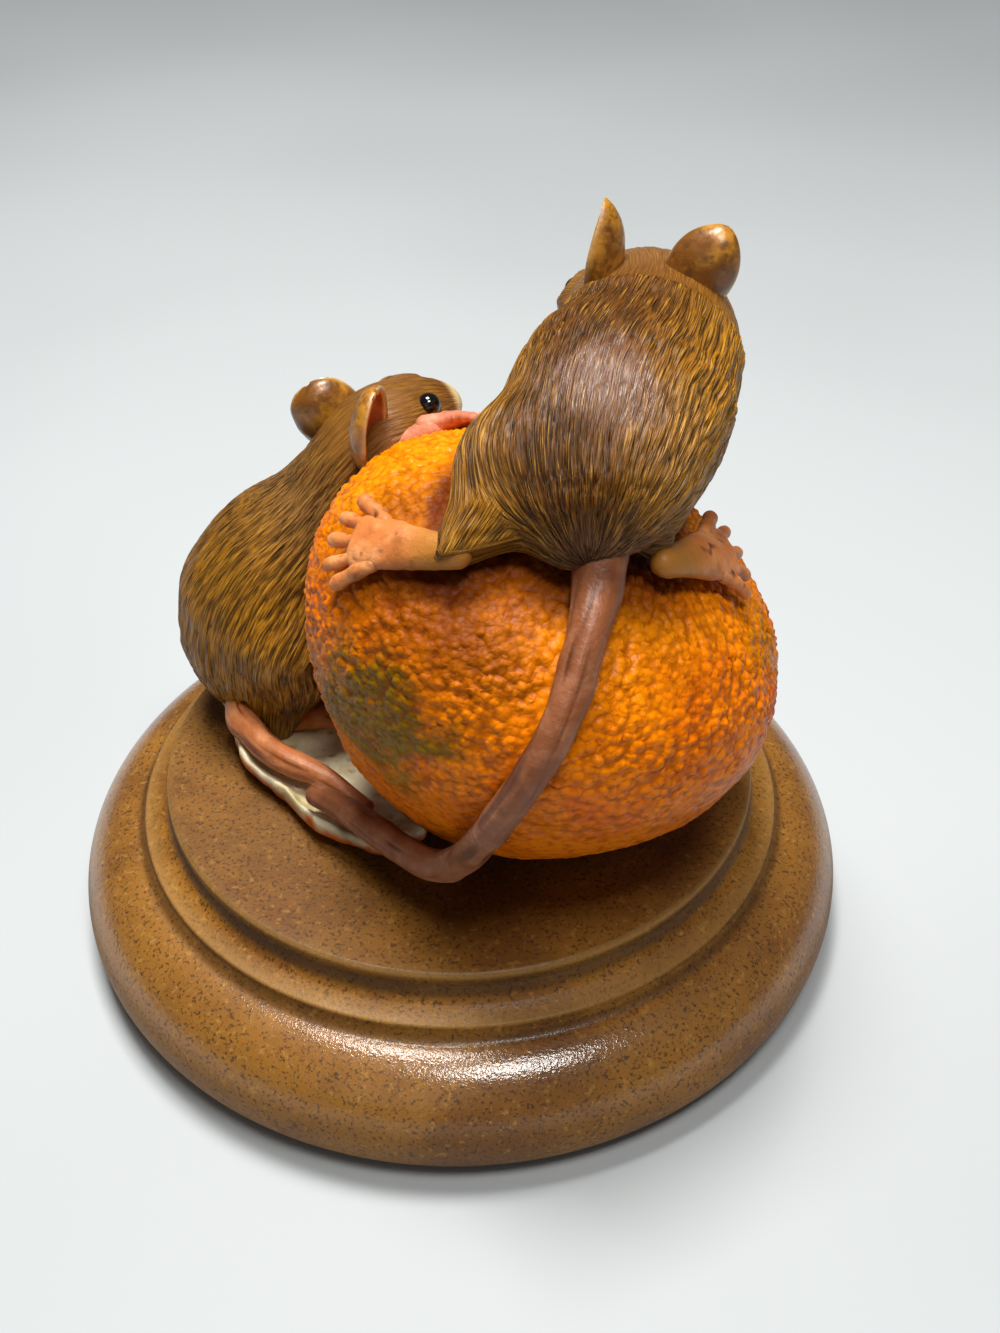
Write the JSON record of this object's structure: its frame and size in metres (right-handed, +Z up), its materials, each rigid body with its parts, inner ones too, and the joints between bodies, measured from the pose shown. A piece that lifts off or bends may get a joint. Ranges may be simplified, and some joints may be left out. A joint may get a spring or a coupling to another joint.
{
  "type": "mouse figurine",
  "caption": "Painted figurine of two mice climbing an orange, on a torn piece of peel and a round turned plinth with a felt underside.",
  "frame": {"origin": "middle of the felt's underside, where the figurine rests", "axes": "+Z up along the plinth's axis, -Y towards the side that shows the mice's backs and the hanging tail, +X to the right seen from there"},
  "size_m": [0.112, 0.112, 0.1041],
  "materials": {
    "fur": "painted brown and ochre, satin",
    "skin": "painted mauve pink, satin",
    "ear_skin": "painted brown outside and pink inside, gloss",
    "eye_black": "black, gloss",
    "orange_rind": "painted orange with green and brown patches, satin",
    "pith": "painted cream with an orange edge, satin",
    "plinth_varnish": "speckled brown varnish, gloss",
    "felt_green": "green felt",
    "steel": "zinc plated, satin"
  },
  "bodies": {
    "root": {"felt_pad": "felt_green", "fixing_screws": "steel", "lower_mouse_body": "fur", "lower_mouse_left_ear": "ear_skin", "lower_mouse_left_eye": "eye_black", "lower_mouse_left_forepaw": "skin", "lower_mouse_left_hind_foot": "skin", "lower_mouse_right_ear": "ear_skin", "lower_mouse_right_eye": "eye_black", "lower_mouse_right_forepaw": "skin", "lower_mouse_right_hind_foot": "skin", "lower_mouse_tail": "skin", "orange": "orange_rind", "peel": "pith", "plinth": "plinth_varnish", "screw_washers": "steel", "upper_mouse_body": "fur", "upper_mouse_dowel": "steel", "upper_mouse_left_ear": "ear_skin", "upper_mouse_left_eye": "eye_black", "upper_mouse_left_forepaw": "skin", "upper_mouse_left_hind_foot": "skin", "upper_mouse_right_ear": "ear_skin", "upper_mouse_right_eye": "eye_black", "upper_mouse_right_forepaw": "skin", "upper_mouse_right_hind_foot": "skin", "upper_mouse_tail": "skin"}
  },
  "joints": []
}
